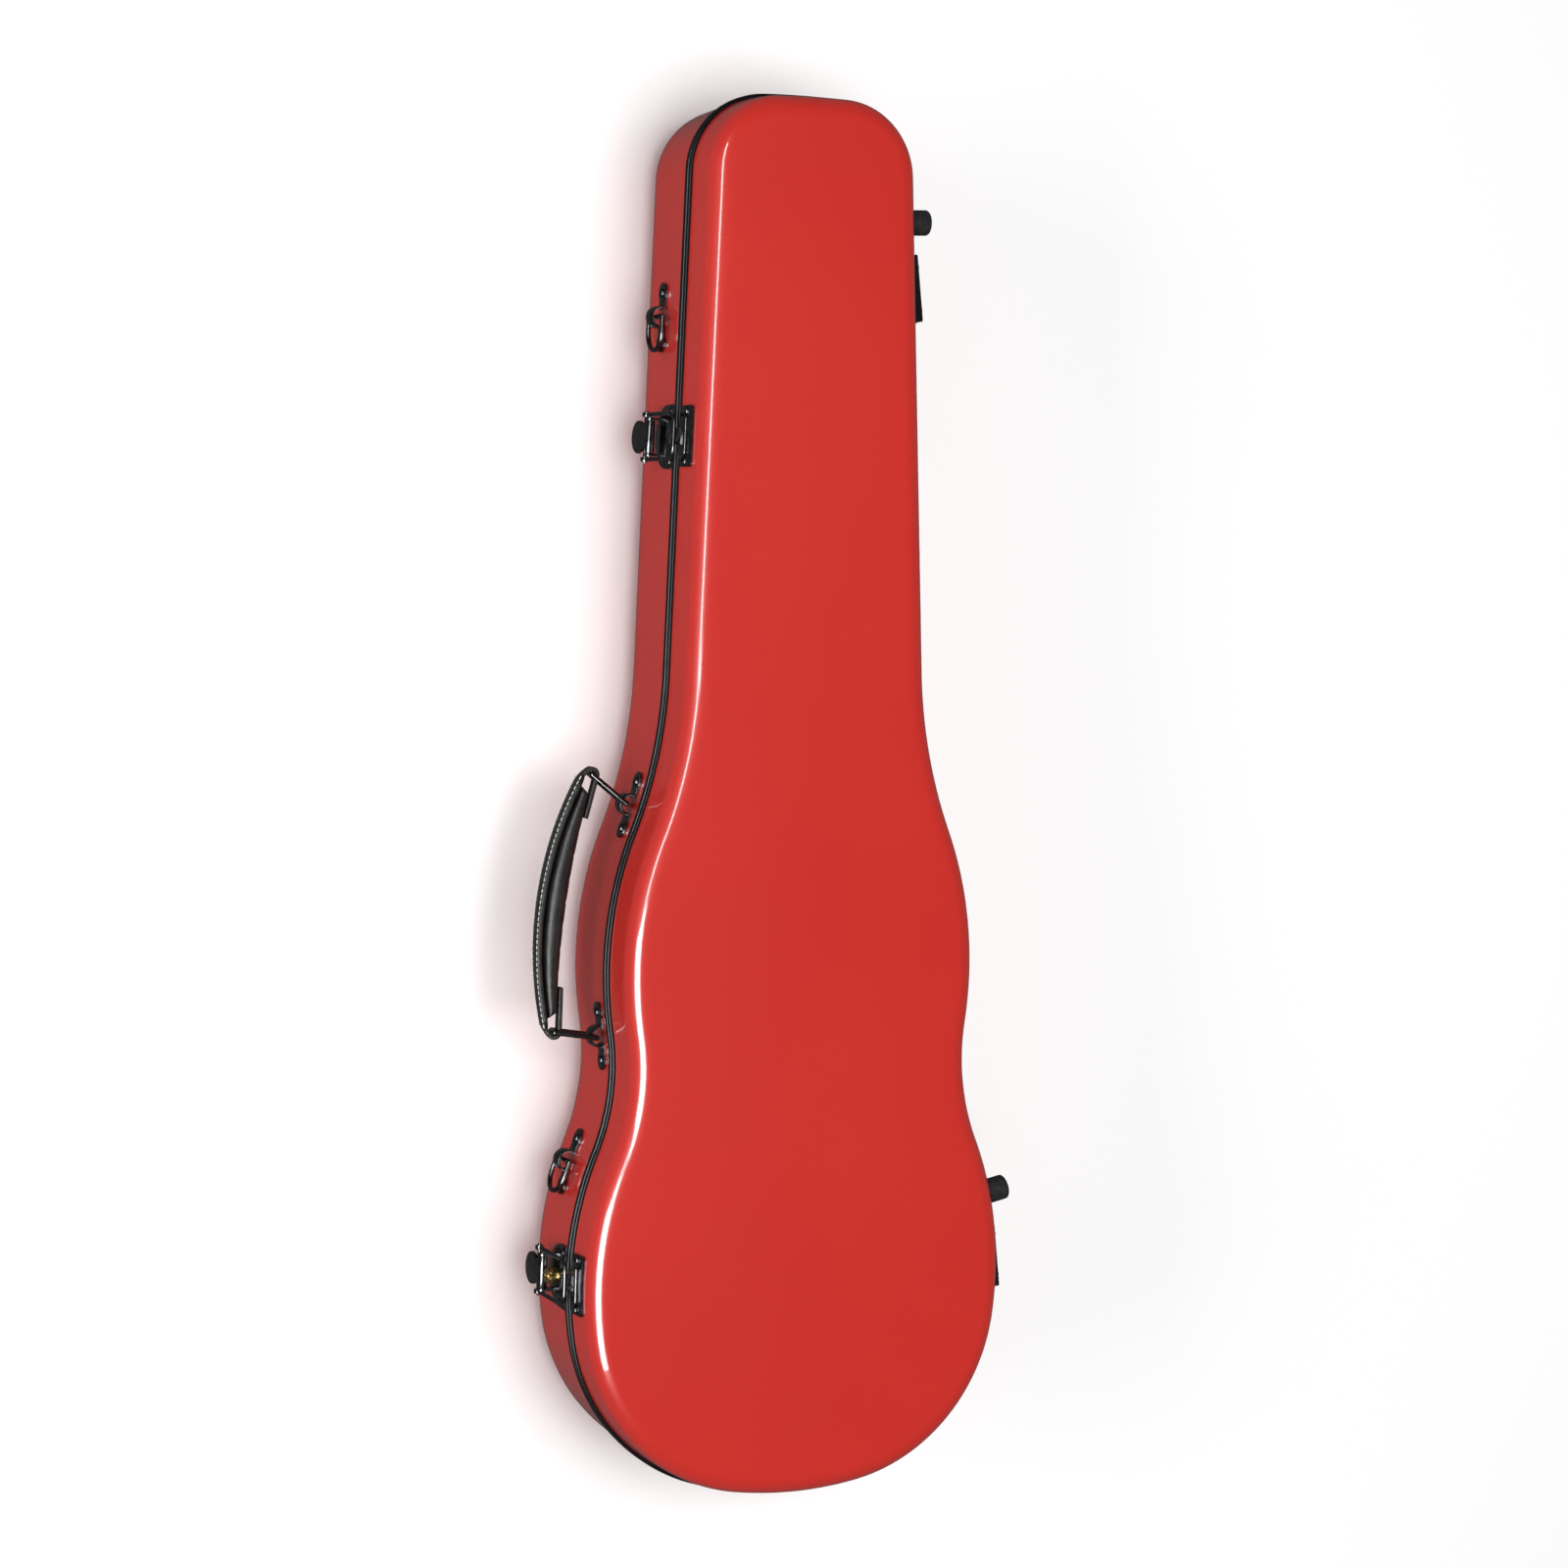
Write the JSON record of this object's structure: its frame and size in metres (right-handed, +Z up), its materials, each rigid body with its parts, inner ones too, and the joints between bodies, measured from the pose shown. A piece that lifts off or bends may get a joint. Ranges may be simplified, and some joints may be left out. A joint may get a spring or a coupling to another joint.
{
  "type": "violin case",
  "caption": "Glossy moulded violin-shaped case: two hinged shells with a black rim, side handle, draw latches, strap rings, side feet and a padded interior.",
  "frame": {"origin": "centre of the flat underside of the base shell, with the case lying flat", "axes": "+Z up, out of the lid; +Y towards the neck end; +X towards the hinges, so the handle and latches are at -X"},
  "size_m": [0.2823, 0.7932, 0.115],
  "materials": {
    "red_shell": "gloss",
    "rim_black": "satin",
    "gasket_grey": "satin",
    "plush_black": "plush",
    "black_nickel": "polished dark nickel",
    "brass": "polished",
    "leather_black": "satin",
    "rubber_black": "matte",
    "steel": "satin",
    "plastic_black": "matte"
  },
  "bodies": {
    "base": {"base_shell": "red_shell", "base_rim": "rim_black", "rim_gasket": "gasket_grey", "foam_bed": "plush_black", "lower_cushion": "plush_black", "upper_cushion": "plush_black", "neck_cradle": "plush_black", "neck_strap": "plush_black", "latch_upper_base": "black_nickel", "latch_lower_base": "black_nickel", "latch_upper_pivot_pin": "black_nickel", "latch_lower_pivot_pin": "black_nickel", "latch_rivets": "black_nickel", "lock_barrel": "brass", "ring_saddle_upper": "black_nickel", "ring_saddle_lower": "black_nickel", "ring_saddle_rivets": "black_nickel", "handle_saddle_upper": "black_nickel", "handle_saddle_lower": "black_nickel", "handle_saddle_rivets": "black_nickel", "side_feet_base": "rubber_black", "foot_screws_base": "steel", "hinge_lower_base_leaf": "black_nickel", "hinge_upper_base_leaf": "black_nickel", "hinge_pins": "steel", "hinge_rivets_base": "black_nickel"},
    "lid": {"lid_shell": "red_shell", "lid_rim": "rim_black", "lid_lining": "plush_black", "bow_rest": "plush_black", "spinner_posts": "plastic_black", "spinner_screws": "steel", "latch_upper_catch": "black_nickel", "latch_lower_catch": "black_nickel", "catch_rivets": "black_nickel", "side_feet_lid": "rubber_black", "foot_screws_lid": "steel", "hinge_lower_lid_leaf": "black_nickel", "hinge_upper_lid_leaf": "black_nickel", "hinge_rivets_lid": "black_nickel"},
    "accessory_lid": {"accessory_lid": "plush_black", "accessory_pull_tab": "leather_black"},
    "spinner_left": {"bow_spinner_left": "plastic_black"},
    "spinner_right": {"bow_spinner_right": "plastic_black"},
    "upper_lever": {"latch_upper_lever": "black_nickel", "latch_upper_bail_pin": "black_nickel"},
    "upper_bail": {"latch_upper_bail": "black_nickel"},
    "lower_lever": {"latch_lower_lever": "black_nickel", "latch_lower_bail_pin": "black_nickel"},
    "lower_bail": {"latch_lower_bail": "black_nickel"},
    "lock_plug": {"lock_plug": "brass"},
    "handle": {"handle_strap": "leather_black", "handle_grip": "leather_black", "handle_tabs": "leather_black", "handle_link_upper": "black_nickel", "handle_link_lower": "black_nickel"},
    "upper_ring": {"strap_ring_upper": "black_nickel"},
    "lower_ring": {"strap_ring_lower": "black_nickel"}
  },
  "joints": [
    {"name": "lid_hinge", "type": "hinge", "parent": "base", "child": "lid", "pos_m": [0.13231, -0.25042, 0.081], "axis": [-0.1062, 0.9943, 0], "range_deg": [0, 105]},
    {"name": "upper_latch_lever", "type": "hinge", "parent": "base", "child": "upper_lever", "pos_m": [-0.07507, 0.20523, 0.054], "axis": [0.0377, 0.9993, 0], "range_deg": [0, 110]},
    {"name": "upper_latch_bail", "type": "hinge", "parent": "upper_lever", "child": "upper_bail", "pos_m": [-0.07457, 0.20522, 0.0465], "axis": [-0.0377, -0.9993, 0], "range_deg": [0, 145]},
    {"name": "lower_latch_lever", "type": "hinge", "parent": "base", "child": "lower_lever", "pos_m": [-0.1351, -0.26684, 0.054], "axis": [0.0251, 0.9997, 0], "range_deg": [0, 110]},
    {"name": "lower_latch_bail", "type": "hinge", "parent": "lower_lever", "child": "lower_bail", "pos_m": [-0.1346, -0.26686, 0.0465], "axis": [-0.0251, -0.9997, 0], "range_deg": [0, 145]},
    {"name": "lock_turn", "type": "hinge", "parent": "base", "child": "lock_plug", "pos_m": [-0.1289, -0.267, 0.064], "axis": [-0.9997, 0.0251, 0], "range_deg": [0, 90]},
    {"name": "handle_swing", "type": "hinge", "parent": "base", "child": "handle", "pos_m": [-0.10832, -0.13241, 0.064], "axis": [0.1305, 0.9913, -0.0151], "range_deg": [0, 24]},
    {"name": "upper_ring_swing", "type": "hinge", "parent": "base", "child": "upper_ring", "pos_m": [-0.06983, 0.27263, 0.048], "axis": [0, 0, -1], "range_deg": [0, 170]},
    {"name": "lower_ring_swing", "type": "hinge", "parent": "base", "child": "lower_ring", "pos_m": [-0.1208, -0.20433, 0.047], "axis": [0, 0, -1], "range_deg": [0, 170]},
    {"name": "accessory_lid_hinge", "type": "hinge", "parent": "base", "child": "accessory_lid", "pos_m": [0.051, 0.304, 0.0769], "axis": [0, 1, 0], "range_deg": [0, 65]},
    {"name": "bow_spinner_left_turn", "type": "hinge", "parent": "lid", "child": "spinner_left", "pos_m": [-0.026, -0.285, 0.09], "axis": [0, 0, 1], "range_deg": [0, 90]},
    {"name": "bow_spinner_right_turn", "type": "hinge", "parent": "lid", "child": "spinner_right", "pos_m": [0.026, -0.285, 0.09], "axis": [0, 0, 1], "range_deg": [0, 90]}
  ],
  "couplings": [
    {"joint": "upper_latch_bail", "follows": "upper_latch_lever", "ratio": 1.3},
    {"joint": "lower_latch_bail", "follows": "lower_latch_lever", "ratio": 1.3},
    {"joint": "accessory_lid_hinge", "follows": "lid_hinge", "ratio": 0.6}
  ]
}
